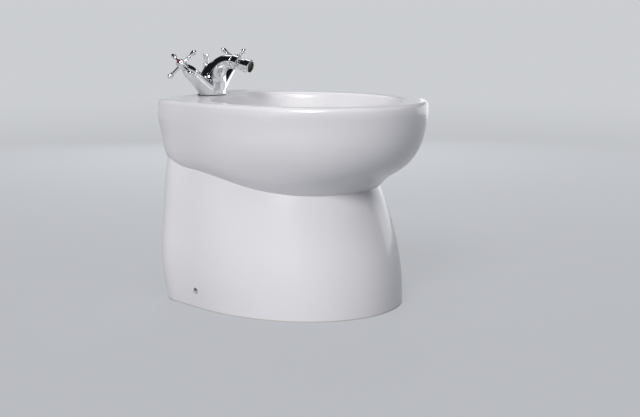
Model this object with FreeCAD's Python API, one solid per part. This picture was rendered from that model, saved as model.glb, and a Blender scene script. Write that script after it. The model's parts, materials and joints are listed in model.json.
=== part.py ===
import FreeCAD, Part
import os, math

# Floor-standing bidet with a one-hole mixer tap and a pop-up waste, in millimetres.
# The origin is on the floor under the middle of the rim. The wall is towards +Y,
# the front towards -Y, and the hot side towards -X.
# "Depth" is a distance from the wall plane, measured towards the front.

V = FreeCAD.Vector
X_AXIS = V(1, 0, 0)
Y_AXIS = V(0, 1, 0)
Z_AXIS = V(0, 0, 1)

# Clearances that every fit shares
overrun = 1.0
running_gap = 0.06
thread_gap = 0.05
rest_gap = 0.3
small_edge = 1.0

# China body
rim_height = 400.0
rim_depth = 508.0
rim_width = 400.0
rim_back_width = 254.0
base_width = 380.0
base_back_width = 238.0
wall = 11.0
deck = 14.0
rim_edge_radius = 8.0
basin_edge_radius = 14.0
corner_radius = 22.0
basin_width = 320.0
basin_back_depth = 98.0
basin_front_depth = 452.0
tap_hole_radius = 17.5
tap_hole_depth = 48.0
waste_hole_radius = 23.0
waste_depth = 235.0
waste_boss_radius = 35.0
waste_boss_length = 48.0
basin_floor_height = 246.0
overflow_radius = 8.0
overflow_wall = 6.0
overflow_height = 352.0
rear_opening_width = 150.0
rear_opening_height = 225.0
rear_opening_radius = 34.0
side_hole_height = 33.5
side_hole_depth = 112.0
side_hole_radius = 3.6
side_recess_radius = 6.5
side_recess_seat = 157.0
side_boss_radius = 14.0
side_boss_face = 142.0

# Outlines in plan: where the widest point lies, how fast the sides flare, how round the front is
widest_share = 0.515
flare_power = 1.9
front_power = 2.1
corner_point_shares = ((-0.51, 0.0), (-0.055, 0.11), (0.3, 0.41))
rear_point_shares = (0.25, 0.58)
front_point_angles = (0.0, 26.0, 48.0, 69.0)
basin_rear_power = 2.7
basin_front_power = 2.1
basin_point_count = 16

# Sections of the bowl from the rim down: height, back and front depth, half width, back half width
bowl_section_shares = (
    (1.000, -0.002, 0.995, 0.988, 1.000),
    (0.920, -0.002, 0.997, 0.992, 0.980),
    (0.845, 0.004, 0.987, 0.985, 0.945),
    (0.770, 0.012, 0.966, 0.965, 0.922),
    (0.708, 0.028, 0.932, 0.928, 0.900),
    (0.655, 0.085, 0.878, 0.880, 0.840),
    (0.610, 0.160, 0.826, 0.820, 0.780),
    (0.570, 0.230, 0.770, 0.740, 0.700),
)
# Sections of the pedestal from the floor up, in the same order, on the base's own widths
base_section_shares = (
    (0.000, 0.026, 0.900, 0.990, 1.010),
    (0.110, 0.014, 0.898, 0.995, 1.055),
    (0.225, 0.008, 0.888, 0.985, 1.075),
    (0.375, 0.010, 0.862, 0.950, 1.040),
    (0.540, 0.015, 0.817, 0.895, 1.005),
    (0.665, 0.022, 0.770, 0.835, 0.980),
    (0.775, 0.034, 0.710, 0.770, 0.930),
)
# Sections of the basin between its rim and its floor: height and inset, both as shares
basin_section_shares = (
    (1.00, 0.00, 0.00, 1.000),
    (0.62, 0.03, 0.03, 0.950),
    (0.36, 0.12, 0.12, 0.830),
    (0.17, 0.30, 0.28, 0.630),
    (0.06, 0.52, 0.52, 0.420),
)
basin_floor_radius = 40.0

# Floor fixings
bracket_leg = 4.0
bracket_width = 30.0
bracket_rise = 50.0
bracket_foot = 46.0
bracket_hole_radius = 3.5
side_screw_radius = 3.0
side_screw_head_radius = 5.4
side_screw_head = 3.4
side_screw_reach = 12.0
side_washer = 1.2

# Mixer body, measured up from its own foot and forwards from its own axis
tap_foot_radius = 29.0
tap_foot_rise = 16.0
base_seal = 1.5
base_seal_inner_radius = 20.0
tap_bottom_recess = 5.0
spout_end_reach = 56.5
spout_end_height = 65.0
spout_end_drop_angle = 13.0
spout_end_radius = 12.0
# Sections along the spout: reach and height as shares of its end, tilt angle, radius as a share of the foot
spout_section_shares = (
    (0.00, 0.00, 0.0, 1.00),
    (0.00, 0.24, 0.0, 0.98),
    (0.08, 0.54, 18.0, 0.92),
    (0.30, 0.79, 52.0, 0.69),
    (0.62, 0.99, 82.0, 0.53),
    (0.90, 1.01, 98.0, 0.45),
)
valve_rise_angle = 32.6
valve_sweep_angle = 3.0
valve_back = 2.0
arm_start = 14.0
arm_end = 82.0
arm_end_radius = 13.4
arm_root_radius = 21.0
arm_section_shares = (0.0, 0.3, 0.65, 1.0)
arm_taper_power = 1.6
rod_back = 12.8
rod_boss_radius = 6.6
rod_boss_height = 61.0

# Mixer fixings and supply tails
stud_radius = 4.0
stud_forward = 12.0
stud_depth_in_body = 11.0
stud_length = 82.0
backing_radius = 28.0
backing_plate = 2.5
backing_rubber = 3.0
backing_web = 1.4
fixing_nut_flats = 13.0
fixing_nut_length = 14.0
tail_radius = 5.0
tail_ferrule_radius = 5.6
tail_ferrule_length = 58.0
tail_wall = 1.0
tail_spread = 9.6
tail_forward = 1.0
tail_length = 118.0
tail_depth_in_body = 11.0

# Valves, measured along the valve axis
cartridge_radius = 8.0
cartridge_depth = 24.0
cartridge_flange_radius = 10.4
cartridge_flange = 4.0
cartridge_nose_radius = 6.6
cartridge_nose = 5.0
spindle_radius = 4.0
spindle_depth = 16.0
bonnet_length = 26.0
bonnet_top_radius = 7.8
bonnet_wall = 1.3
hub_radius = 8.6
hub_length = 19.0
hub_gap = 1.6
hub_edge = 2.0
handle_arm_reach = 38.5
handle_arm_root_radius = 3.7
handle_arm_neck_radius = 2.9
handle_arm_end_radius = 4.9
handle_turn_angles = {-1: -33.5, 1: -43.0}
end_length_share = 3.0
handle_seat = 10.0
handle_screw_radius = 2.0
handle_screw_head_radius = 3.8
handle_screw_head = 2.6
index_cap_radius = 6.6
index_cap_rise = 3.2
index_cap_skirt = 1.6

# Swivel nozzle, measured along the nozzle axis from the middle of the ball
ball_radius = 9.5
ball_gap = 0.08
ball_bore_radius = 4.0
ball_offset = 3.0
collar_radius = 14.4
collar_back = 8.5
collar_front = 5.4
collar_thread_radius = 11.4
ball_seal_radius = 1.2
ball_seal_angle = 28.0
nozzle_neck_radius = 5.4
nozzle_shoulder = 11.5
nozzle_ring_radius = 11.2
nozzle_step = 20.5
nozzle_groove = 1.4
nozzle_mouth_radius = 13.6
nozzle_length = 34.0
nozzle_bore_radius = 11.0
nozzle_bore_depth = 10.5
aerator_height = 5.0
aerator_plate = 1.2
aerator_rim = 1.6
aerator_hole_radius = 0.75
aerator_ring_pitch = 3.3
aerator_washer = 1.4

# Pop-up linkage
lift_travel = 30.0
lift_rod_radius = 2.0
knob_base_radius = 5.2
knob_top_radius = 6.6
knob_height = 20.0
knob_dome = 2.0
knob_waist_share = 0.95
knob_seat = 12.0
clamp_height = 231.0
clamp_width = 14.0
clamp_thickness = 9.0
clamp_length = 12.0
strap_width = 12.0
strap_thickness = 1.6
strap_hole_radius = 3.2
strap_hole_pitch = 14.0
strap_hole_count = 6
strap_end = 8.0
clamp_screw_radius = 2.5
clamp_screw_head_radius = 6.0
clamp_screw_head = 4.5
clip_sheet = 0.8
clip_gap = 3.2
clip_width = 10.0
clip_drop = 10.5
pivot_height = 156.0
pivot_arm = 30.0
pivot_rod_radius = 2.5
pivot_rod_inner_end = 4.5
pivot_rod_outer_end = 9.0
pivot_ball_radius = 5.8

# Pop-up waste, one and a quarter inch
waste_thread_radius = 20.9
waste_bore_radius = 16.6
flange_radius = 32.0
flange_edge = 2.6
flange_gasket = 1.5
seat_slope = 0.7
waste_tube_length = 74.0
waste_slot_width = 11.0
waste_slot_height = 15.0
waste_washer_height = 8.0
waste_washer_radius = 32.0
locknut_height = 8.0
locknut_flats = 50.0
outlet_wall = 3.2
outlet_body_end = 136.0
tail_pipe_radius = 16.0
tail_pipe_wall = 1.5
tail_pipe_end = 72.0
port_radius = 10.0
port_length = 33.0
port_bore_gap = 0.4
pivot_nut_flats = 26.0
pivot_nut_wall = 2.6
pivot_nut_cover = 9.0
pivot_seal = 2.8
pivot_seal_inner_radius = 3.7
port_neck_radius = 4.4
plug_radius = 21.0
plug_groove_radius = 16.1
plug_edge = 1.6
plug_dome = 2.2
plug_lift_gap = 0.6
plug_seal_radius = 2.0
plug_seal_drop = 4.4
plug_stem_radius = 4.0
plug_fin = 2.0
plug_fin_length = 40.0
plug_eye_radius = 6.6
plug_eye_width = 8.0

# Places worked out from the sizes above
rim_half = rim_width / 2
rim_back_half = rim_back_width / 2
base_half = base_width / 2
base_back_half = base_back_width / 2
full_turn = 360.0


def at_depth(depth):
    return rim_depth / 2 - depth


waste_y = at_depth(waste_depth)
tap_y = at_depth(tap_hole_depth)
tap_foot = rim_height + base_seal
lift_rod_y = tap_y + rod_back
pivot_y = waste_y + pivot_arm
strap_y = lift_rod_y + clamp_thickness / 2 + strap_thickness / 2
lever_reach = strap_y - pivot_y
lever_angle = math.degrees(math.atan(lift_travel / 2 / lever_reach))
plug_travel = lift_travel * pivot_arm / lever_reach
waste_boss_bottom = basin_floor_height - waste_boss_length
seat_normal = plug_seal_radius * math.sqrt(1 + seat_slope ** 2)
seat_top_radius = plug_groove_radius + seat_normal + seat_slope * plug_seal_drop
seat_depth = (seat_top_radius - waste_bore_radius) / seat_slope
flange_seat = basin_floor_height + flange_gasket


def save(shape, node):
    shape.exportStep("parts/" + node + ".step")


def cylinder(radius, start, direction, length):
    return Part.makeCylinder(radius, length, start, direction)


def upright(radius, x, y, bottom, top):
    return cylinder(radius, V(x, y, bottom), Z_AXIS, top - bottom)


def block(x_low, x_high, y_low, y_high, z_low, z_high):
    return Part.makeBox(x_high - x_low, y_high - y_low, z_high - z_low, V(x_low, y_low, z_low))


# A prism with six flats, upright on the Z axis
def hexagon(flats, bottom, top):
    corner = flats / math.sqrt(3)
    points = []
    for side in range(7):
        turn = math.radians(side * full_turn / 6)
        points.append(V(corner * math.cos(turn), corner * math.sin(turn), bottom))
    face = Part.Face(Part.makePolygon(points))
    return face.extrude(V(0, 0, top - bottom))


# A turned piece from runs of (radius, height) points: two points are a line, three an arc, more a curve
def turned(*runs):
    edges = []
    for run in runs:
        points = [V(radius, 0, height) for radius, height in run]
        if len(points) == 2:
            edges.append(Part.makeLine(points[0], points[1]))
        elif len(points) == 3:
            edges.append(Part.Arc(*points).toShape())
        else:
            curve = Part.BSplineCurve()
            curve.interpolate(Points=points)
            edges.append(curve.toShape())
    first, last = runs[0][0], runs[-1][-1]
    if first != last:
        edges.append(Part.makeLine(V(last[0], 0, last[1]), V(first[0], 0, first[1])))
    return Part.Face(Part.Wire(edges)).revolve(V(), Z_AXIS, full_turn)


# Three points on a round cap that closes on the axis
def cap_run(radius, bottom, rise):
    sphere = (radius ** 2 + rise ** 2) / (2 * rise)
    half_turn = math.atan2(radius, sphere - rise) / 2
    middle = (sphere * math.sin(half_turn), bottom + rise - sphere * (1 - math.cos(half_turn)))
    return [(radius, bottom), middle, (0, bottom + rise)]


# The same from plain corners
def lathed(corners):
    closed = list(corners) + [corners[0]]
    polygon = Part.makePolygon([V(radius, 0, height) for radius, height in closed])
    return Part.Face(polygon).revolve(V(), Z_AXIS, full_turn)


def on_axis(shape, origin, direction):
    placed = shape.copy()
    placed.Placement = FreeCAD.Placement(origin, FreeCAD.Rotation(Z_AXIS, direction))
    return placed


def on_waste(shape):
    return shape.translated(V(0, waste_y, 0))


# Parameters of a curve through points, spaced by the chords between them
def chord_spacing(points):
    total = [0.0]
    for before, after in zip(points, points[1:]):
        total.append(total[-1] + (after - before).Length)
    return [value / total[-1] for value in total]


# Half of a plan outline, from the back corner along the flare and round the front
def half_outline(back, front, half, back_half):
    widest = back + (front - back) * widest_share
    points = [(back_half + across * corner_radius, back + along * corner_radius)
              for across, along in corner_point_shares]
    for share in rear_point_shares:
        flare = 1 - (1 - share) ** flare_power
        points.append((back_half + (half - back_half) * flare, back + (widest - back) * share))
    for angle in front_point_angles:
        turn = math.radians(angle)
        across = half * math.cos(turn) ** (2 / front_power)
        along = widest + (front - widest) * math.sin(turn) ** (2 / front_power)
        points.append((across, along))
    return points + [(0, front)]


def outline_points(height, back, front, half, back_half):
    right = half_outline(back, front, half, back_half)
    left = [(-across, along) for across, along in reversed(right[:-1])]
    return [V(across, at_depth(along), height) for across, along in right + left]


# A solid through flared outlines with a flat back
def flared_loft(sections):
    spacing = chord_spacing(outline_points(*sections[0]))
    wires = []
    for section in sections:
        points = outline_points(*section)
        curve = Part.BSplineCurve()
        curve.interpolate(Points=points, Parameters=spacing)
        wires.append(Part.Wire([curve.toShape(), Part.makeLine(points[-1], points[0])]))
    return Part.makeLoft(wires, True)


def bowl_section(shares, inset):
    height, back, front, half, back_half = shares
    return (height * rim_height, back * rim_depth + inset, front * rim_depth - inset,
            half * rim_half - inset, back_half * rim_back_half - inset)


def base_section(shares, inset):
    height, back, front, half, back_half = shares
    return (height * rim_height, back * rim_depth + inset, front * rim_depth - inset,
            half * base_half - inset, back_half * base_back_half - inset)


def raised(section, rise):
    return (section[0] + rise,) + section[1:]


def flat_edges(shape, height):
    return [edge for edge in shape.Edges
            if abs(edge.BoundBox.ZMin - height) + abs(edge.BoundBox.ZMax - height) < running_gap]


# The bowl's outside, with a rounded rim
def bowl_outside():
    solid = flared_loft([bowl_section(shares, 0) for shares in bowl_section_shares])
    solid = solid.makeFillet(rim_edge_radius, flat_edges(solid, rim_height))
    return solid.cut(block(-rim_half, rim_half, at_depth(0), at_depth(-wall), 0, rim_height + wall))


def pedestal_outside():
    return flared_loft([base_section(shares, 0) for shares in base_section_shares])


# The hollow between the outer skin and the basin, open to the pedestal below
def inner_hollow():
    top = raised(bowl_section(bowl_section_shares[0], wall), -deck)
    middle = [bowl_section(shares, wall) for shares in bowl_section_shares[1:4]]
    low = [raised(bowl_section(shares, wall), rise * wall)
           for shares, rise in zip(bowl_section_shares[4:7], (0.3, 0.5, 0.7))]
    bowl = flared_loft([top] + middle + low)
    foot = raised(base_section(base_section_shares[0], wall), -overrun)
    column = flared_loft([foot] + [base_section(shares, wall) for shares in base_section_shares[1:]])
    return bowl.fuse(column)


# A closed egg-shaped outline of the basin at one height
def basin_points(height, back, front, half):
    middle = (back + front) / 2
    reach = (front - back) / 2
    points = []
    for step in range(basin_point_count):
        turn = math.radians(step * full_turn / basin_point_count)
        power = basin_front_power if math.sin(turn) > 0 else basin_rear_power
        across = math.copysign(abs(math.cos(turn)) ** (2 / power), math.cos(turn))
        along = math.copysign(abs(math.sin(turn)) ** (2 / power), math.sin(turn))
        points.append(V(half * across, at_depth(middle + reach * along), height))
    return points


def basin_sections(growth, floor_drop):
    depth = rim_height - basin_floor_height
    half = basin_width / 2
    sections = []
    for height, back, front, width in basin_section_shares:
        rear = basin_back_depth + back * (waste_depth - basin_back_depth)
        fore = basin_front_depth - front * (basin_front_depth - waste_depth)
        level = basin_floor_height + height * depth - floor_drop * (1 - height)
        sections.append((level, rear - growth, fore + growth, width * half + growth))
    radius = basin_floor_radius + growth / 2
    sections.append((basin_floor_height - floor_drop, waste_depth - radius, waste_depth + radius, radius))
    return sections


def basin_loft(growth, floor_drop):
    sections = basin_sections(growth, floor_drop)
    first = basin_points(*sections[0])
    spacing = chord_spacing(first + [first[0]])
    wires = []
    for section in sections:
        curve = Part.BSplineCurve()
        curve.interpolate(Points=basin_points(*section), PeriodicFlag=True, Parameters=spacing)
        wires.append(Part.Wire([curve.toShape()]))
    return Part.makeLoft(wires, True)


# The overflow duct falls behind the basin and turns in to the waste boss
def duct_run(radius, extend):
    top = V(0, at_depth(basin_back_depth - wall), overflow_height)
    knee = V(0, at_depth(basin_back_depth + 2 * wall), basin_floor_height + wall / 2)
    foot = V(0, waste_y + waste_hole_radius - extend, waste_boss_bottom + overflow_radius + overflow_wall)
    fall, turn_in = knee - top, foot - knee
    drop = cylinder(radius, top, fall, fall.Length)
    level = cylinder(radius, knee, turn_in, turn_in.Length)
    ends = [Part.makeSphere(radius, top), Part.makeSphere(radius, knee)]
    return drop.fuse([level] + ends)


def overflow_cutter():
    mouth = V(0, at_depth(basin_back_depth + 3 * wall), overflow_height)
    entry = cylinder(overflow_radius, mouth, Y_AXIS, 4 * wall)
    return duct_run(overflow_radius, overflow_wall).fuse(entry)


def rear_opening():
    half = rear_opening_width / 2
    front, behind = at_depth(rim_depth / 8), at_depth(0) + overrun
    tunnel = block(-half, half, front, behind, -overrun, rear_opening_height)
    tops = [edge for edge in tunnel.Edges
            if edge.BoundBox.YLength > wall and abs(edge.BoundBox.ZMin - rear_opening_height) < running_gap]
    return tunnel.makeFillet(rear_opening_radius, tops)


def china_body():
    outside = bowl_outside().fuse(pedestal_outside())
    basin_wall = basin_loft(wall, wall)
    china = outside.cut(inner_hollow().cut(basin_wall))
    boss = upright(waste_boss_radius, 0, waste_y, waste_boss_bottom, basin_floor_height - overrun)
    china = china.fuse([boss, duct_run(overflow_radius + overflow_wall, 0)])
    side_y = at_depth(side_hole_depth)
    for side in (-1, 1):
        pad = cylinder(side_boss_radius, V(side * side_boss_face, side_y, side_hole_height),
                       X_AXIS * side, side_recess_seat - side_boss_face)
        china = china.fuse(pad)
    china = china.cut(basin_loft(0, 0))
    behind_basin = at_depth(basin_back_depth / 2)
    rim = [edge for edge in flat_edges(china, rim_height) if edge.BoundBox.YMax < behind_basin]
    china = china.makeFillet(basin_edge_radius, [min(rim, key=lambda edge: edge.Length)])
    drain_low, drain_high = waste_boss_bottom - overrun, basin_floor_height + overrun
    holes = [upright(tap_hole_radius, 0, tap_y, rim_height - deck - overrun, rim_height + overrun),
             upright(waste_hole_radius, 0, waste_y, drain_low, drain_high),
             overflow_cutter(), rear_opening()]
    for side in (-1, 1):
        start = V(side * (side_boss_face - overrun), side_y, side_hole_height)
        holes.append(cylinder(side_hole_radius, start, X_AXIS * side, base_half))
        seat = V(side * side_recess_seat, side_y, side_hole_height)
        holes.append(cylinder(side_recess_radius, seat, X_AXIS * side, base_half))
    for hole in holes:
        china = china.cut(hole)
    return china


# An angle bracket that stands on the floor behind each side hole
def floor_bracket(side):
    face = side_boss_face - rest_gap
    middle = at_depth(side_hole_depth)
    low, high = middle - bracket_width / 2, middle + bracket_width / 2
    leg = block(face - bracket_leg, face, low, high, 0, bracket_rise)
    foot = block(face - bracket_foot, face, low, high, 0, bracket_leg)
    bracket = leg.fuse(foot)
    for edge_y in (low, high - bracket_leg):
        corner, toe = V(face, edge_y, 0), V(face - bracket_foot / 2, edge_y, 0)
        peak = V(face, edge_y, bracket_rise / 2)
        gusset = Part.Face(Part.makePolygon([corner, toe, peak, corner])).extrude(V(0, bracket_leg, 0))
        bracket = bracket.fuse(gusset)
    bracket = bracket.removeSplitter()
    thread = cylinder(side_screw_radius + thread_gap, V(0, middle, side_hole_height), X_AXIS, base_half)
    bolt_x = face - bracket_foot * 3 / 4
    floor_hole = upright(bracket_hole_radius, bolt_x, middle, -overrun, bracket_leg + overrun)
    bracket = bracket.cut(thread).cut(floor_hole)
    return bracket if side > 0 else bracket.mirror(V(), X_AXIS)


def side_screw(side):
    seat = side_recess_seat + side_washer
    tip = side_boss_face - rest_gap - side_screw_reach
    head, top = side_screw_head_radius, seat + side_screw_head
    shank = lathed([(0, tip), (side_screw_radius, tip), (side_screw_radius, seat), (head, seat),
                    (head, seat + side_screw_head / 2), (head / 2, top), (0, top)])
    socket = hexagon(head * 3 / 4, seat + side_screw_head / 3, top + overrun)
    return on_axis(shank.cut(socket), V(0, at_depth(side_hole_depth), side_hole_height), X_AXIS * side)


def side_washer_ring(side):
    inner = side_screw_radius + thread_gap
    ring = lathed([(inner, side_recess_seat), (side_screw_head_radius, side_recess_seat),
                   (side_screw_head_radius, side_recess_seat + side_washer),
                   (inner, side_recess_seat + side_washer)])
    return on_axis(ring, V(0, at_depth(side_hole_depth), side_hole_height), X_AXIS * side)


# Direction of a valve, out to its side, up and slightly back
def valve_direction(side):
    rise = math.radians(valve_rise_angle)
    sweep = math.radians(valve_sweep_angle)
    level = math.cos(rise)
    return V(side * level * math.cos(sweep), level * math.sin(sweep), math.sin(rise))


def valve_origin():
    return V(0, tap_y - valve_back, tap_foot)


def valve_point(side, distance):
    return valve_origin() + valve_direction(side) * distance


# Direction of the nozzle, forwards and slightly down
def nozzle_direction():
    drop = math.radians(spout_end_drop_angle)
    return V(0, -math.cos(drop), -math.sin(drop))


def spout_end():
    return V(0, tap_y - spout_end_reach, tap_foot + spout_end_height)


def ball_centre():
    return spout_end() + nozzle_direction() * ball_offset


def spout_loft():
    wires = []
    for reach, height, tilt, radius in spout_section_shares:
        centre = V(0, tap_y - reach * spout_end_reach, tap_foot + height * spout_end_height)
        circle = Part.makeCircle(radius * tap_foot_radius)
        circle.Placement = FreeCAD.Placement(centre, FreeCAD.Rotation(X_AXIS, tilt))
        wires.append(Part.Wire([circle]))
    circle = Part.makeCircle(spout_end_radius)
    end_tilt = full_turn / 4 + spout_end_drop_angle
    circle.Placement = FreeCAD.Placement(spout_end(), FreeCAD.Rotation(X_AXIS, end_tilt))
    wires.append(Part.Wire([circle]))
    return Part.makeLoft(wires, True)


def valve_arm(side):
    wires = []
    for share in arm_section_shares:
        radius = arm_end_radius + (arm_root_radius - arm_end_radius) * (1 - share) ** arm_taper_power
        distance = arm_start + (arm_end - arm_start) * share
        circle = Part.makeCircle(radius)
        circle.Placement = FreeCAD.Placement(valve_point(side, distance),
                                             FreeCAD.Rotation(Z_AXIS, valve_direction(side)))
        wires.append(Part.Wire([circle]))
    return Part.makeLoft(wires, True)


def tap_body():
    body = spout_loft()
    for side in (-1, 1):
        body = body.fuse(valve_arm(side))
    boss_top = tap_foot + rod_boss_height
    boss = upright(rod_boss_radius, 0, lift_rod_y, tap_foot + tap_foot_rise, boss_top)
    body = body.fuse(boss)
    below = upright(2 * tap_foot_radius, 0, tap_y, tap_foot - tap_foot_radius, tap_foot)
    recess = upright(base_seal_inner_radius, 0, tap_y, tap_foot - overrun, tap_foot + tap_bottom_recess)
    stud_top = tap_foot + stud_depth_in_body
    cutters = [below, recess,
               upright(rod_boss_radius, 0, lift_rod_y, boss_top, boss_top + knob_height),
               upright(lift_rod_radius + running_gap, 0, lift_rod_y, tap_foot, boss_top + overrun),
               upright(stud_radius + thread_gap, 0, tap_y - stud_forward, tap_foot, stud_top)]
    for side in (-1, 1):
        cutters.append(upright(tail_ferrule_radius + thread_gap, side * tail_spread, tap_y - tail_forward,
                               tap_foot, tap_foot + tail_depth_in_body))
        mouth = valve_point(side, arm_end + overrun)
        cutters.append(cylinder(cartridge_radius, mouth, -valve_direction(side), cartridge_depth + overrun))
    centre, direction = ball_centre(), nozzle_direction()
    spigot, behind = collar_thread_radius - thread_gap, -collar_back - overrun / 2
    step = lathed([(spigot, behind), (tap_foot_radius, behind), (tap_foot_radius, 0), (spigot, 0)])
    cutters.append(on_axis(step, centre, direction))
    cutters.append(Part.makeSphere(ball_radius + ball_gap, centre))
    cutters.append(cylinder(ball_bore_radius, centre, -direction, 2 * ball_radius + ball_offset))
    around, behind = ball_seal_place()
    reach = ball_seal_radius + thread_gap
    groove = lathed([(around - reach, behind - reach), (around + reach, behind - reach),
                     (around + reach, behind + reach), (around - reach, behind + reach)])
    cutters.append(on_axis(groove, centre, direction))
    for cutter in cutters:
        body = body.cut(cutter)
    return body


# Radius of the seal ring and its place behind the ball's centre
def ball_seal_place():
    back = math.radians(ball_seal_angle)
    distance = ball_radius + ball_gap + ball_seal_radius
    return distance * math.cos(back), -distance * math.sin(back)


def ball_seal():
    around, behind = ball_seal_place()
    ring = Part.makeTorus(around, ball_seal_radius, V(0, 0, behind))
    return on_axis(ring, ball_centre(), nozzle_direction())


def tap_base_seal():
    outer = upright(tap_foot_radius, 0, tap_y, rim_height, tap_foot)
    return outer.cut(upright(base_seal_inner_radius, 0, tap_y, rim_height - overrun, tap_foot + overrun))


def tap_fixing_stud():
    top = tap_foot + stud_depth_in_body
    return upright(stud_radius, 0, tap_y - stud_forward, top - stud_length, top)


# A horseshoe plate that takes the stud and leaves room for the tails and the lift rod
def horseshoe(bottom, top):
    plate = upright(backing_radius, 0, tap_y, bottom, top)
    half = tail_spread + tail_ferrule_radius + backing_web / 2
    front = tap_y - stud_forward + stud_radius + backing_web / 2
    slot = block(-half, half, front, tap_y + backing_radius + overrun, bottom - overrun, top + overrun)
    stud = upright(stud_radius + thread_gap, 0, tap_y - stud_forward, bottom - overrun, top + overrun)
    return plate.cut(slot).cut(stud)


def tap_fixing_nut():
    top = rim_height - deck - backing_rubber - backing_plate
    nut = hexagon(fixing_nut_flats, top - fixing_nut_length, top).translated(V(0, tap_y - stud_forward, 0))
    bottom = top - fixing_nut_length - overrun
    return nut.cut(upright(stud_radius + thread_gap, 0, tap_y - stud_forward, bottom, top + overrun))


def supply_tail(side):
    top = tap_foot + tail_depth_in_body
    x, y = side * tail_spread, tap_y - tail_forward
    tube = upright(tail_radius, x, y, top - tail_length, top)
    tube = tube.fuse(upright(tail_ferrule_radius, x, y, top - tail_ferrule_length, top))
    return tube.cut(upright(tail_radius - tail_wall, x, y, top - tail_length - overrun, top + overrun))


def cartridge(side):
    length = cartridge_depth - rest_gap
    outer = cartridge_radius - thread_gap
    collar = cartridge_flange + cartridge_nose
    inner = spindle_radius + running_gap
    body = lathed([(inner, -length), (outer, -length), (outer, 0), (cartridge_flange_radius, 0),
                   (cartridge_flange_radius, cartridge_flange), (cartridge_nose_radius, cartridge_flange),
                   (cartridge_nose_radius, collar), (inner, collar)])
    return on_axis(body, valve_point(side, arm_end), valve_direction(side))


def bonnet(side):
    outer = arm_end_radius
    top = bonnet_length
    shoulder = outer - bonnet_wall
    hole = spindle_radius + rest_gap
    dome = turned([(outer, 0), (outer, top / 4)],
                  [(outer, top / 4), ((outer + bonnet_top_radius) / 2 + bonnet_wall / 2, top * 5 / 8),
                   (bonnet_top_radius, top)],
                  [(bonnet_top_radius, top), (hole, top)], [(hole, top), (hole, top - 2 * bonnet_wall)],
                  [(hole, top - 2 * bonnet_wall), (bonnet_top_radius - bonnet_wall, top - 2 * bonnet_wall)],
                  [(bonnet_top_radius - bonnet_wall, top - 2 * bonnet_wall), (shoulder, top / 2)],
                  [(shoulder, top / 2), (shoulder, 0)])
    return on_axis(dome, valve_point(side, arm_end), valve_direction(side))


def hub_start():
    return arm_end + bonnet_length + hub_gap


def spindle(side):
    start = arm_end - spindle_depth
    hub = hub_start() - start
    shank = upright(spindle_radius, 0, 0, 0, hub + handle_seat)
    thread = upright(handle_screw_radius + thread_gap, 0, 0, hub, hub + hub_length)
    return on_axis(shank.cut(thread), valve_point(side, start), valve_direction(side))


# One arm of the cross: thin where it leaves the hub, swelling to a rounded end
def handle_arm():
    reach, end = handle_arm_reach, handle_arm_end_radius
    root, neck = handle_arm_root_radius, handle_arm_neck_radius
    start, swell = hub_radius / 2, reach - end_length_share * end
    middle = (start + swell) / 2
    bulge = ((neck + end) / 2 + (end - neck) / 4, (swell + reach - end) / 2)
    return turned([(0, start), (root, start)], [(root, start), (neck, middle)],
                  [(neck, middle), (neck, swell)], [(neck, swell), bulge, (end, reach - end)],
                  cap_run(end, reach - end, end))


def cross_handle(side):
    edge = hub_edge
    hub = turned([(0, 0), (hub_radius - edge, 0)],
                 [(hub_radius - edge, 0), (hub_radius - edge * 0.3, edge * 0.3), (hub_radius, edge)],
                 [(hub_radius, edge), (hub_radius, hub_length - edge)],
                 [(hub_radius, hub_length - edge), (hub_radius - edge * 0.3, hub_length - edge * 0.3),
                  (hub_radius - edge, hub_length)],
                 [(hub_radius - edge, hub_length), (0, hub_length)])
    arms = []
    for quarter in range(4):
        arm = handle_arm()
        turn = handle_turn_angles[side] + quarter * full_turn / 4
        direction = V(math.cos(math.radians(turn)), math.sin(math.radians(turn)), 0)
        arms.append(on_axis(arm, V(0, 0, hub_length / 2), direction))
    handle = hub.fuse(arms)
    bore = upright(spindle_radius + thread_gap, 0, 0, -overrun, handle_seat + rest_gap)
    through = upright(handle_screw_radius + running_gap, 0, 0, 0, hub_length)
    pocket_floor = hub_length - handle_screw_head - index_cap_skirt
    pocket = upright(index_cap_radius - index_cap_skirt, 0, 0, pocket_floor, hub_length + overrun)
    handle = handle.cut(bore).cut(through).cut(pocket)
    return aligned_to_valve(handle, side, hub_start())


# Puts a piece drawn along Z on a valve, with its X side up the valve's slope
def aligned_to_valve(shape, side, distance):
    direction = valve_direction(side)
    upward = Z_AXIS - direction * direction.z
    upward.normalize()
    sideways = direction.cross(upward)
    matrix = FreeCAD.Matrix(upward.x, sideways.x, direction.x, 0, upward.y, sideways.y, direction.y, 0,
                            upward.z, sideways.z, direction.z, 0, 0, 0, 0, 1)
    placed = shape.copy()
    placed.Placement = FreeCAD.Placement(valve_point(side, distance), FreeCAD.Placement(matrix).Rotation)
    return placed


def handle_screw(side):
    seat = hub_length - handle_screw_head - index_cap_skirt
    tip = handle_seat / 2
    screw = lathed([(0, tip), (handle_screw_radius, tip), (handle_screw_radius, seat),
                    (handle_screw_head_radius, seat), (handle_screw_head_radius, seat + handle_screw_head),
                    (0, seat + handle_screw_head)])
    slot = block(-handle_screw_head_radius, handle_screw_head_radius, -handle_screw_radius / 4,
                 handle_screw_radius / 4, seat + handle_screw_head / 2, seat + handle_screw_head + overrun)
    return on_axis(screw.cut(slot), valve_point(side, hub_start()), valve_direction(side))


def index_cap(side):
    rim, rise = index_cap_radius, index_cap_rise
    plug = rim - index_cap_skirt - thread_gap
    cap = turned([(0, -index_cap_skirt), (plug, -index_cap_skirt)], [(plug, -index_cap_skirt), (plug, 0)],
                 [(plug, 0), (rim, 0)], [(rim, 0), (rim, rise / 4)], cap_run(rim, rise / 4, rise * 3 / 4))
    return on_axis(cap, valve_point(side, hub_start() + hub_length), valve_direction(side))


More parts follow.
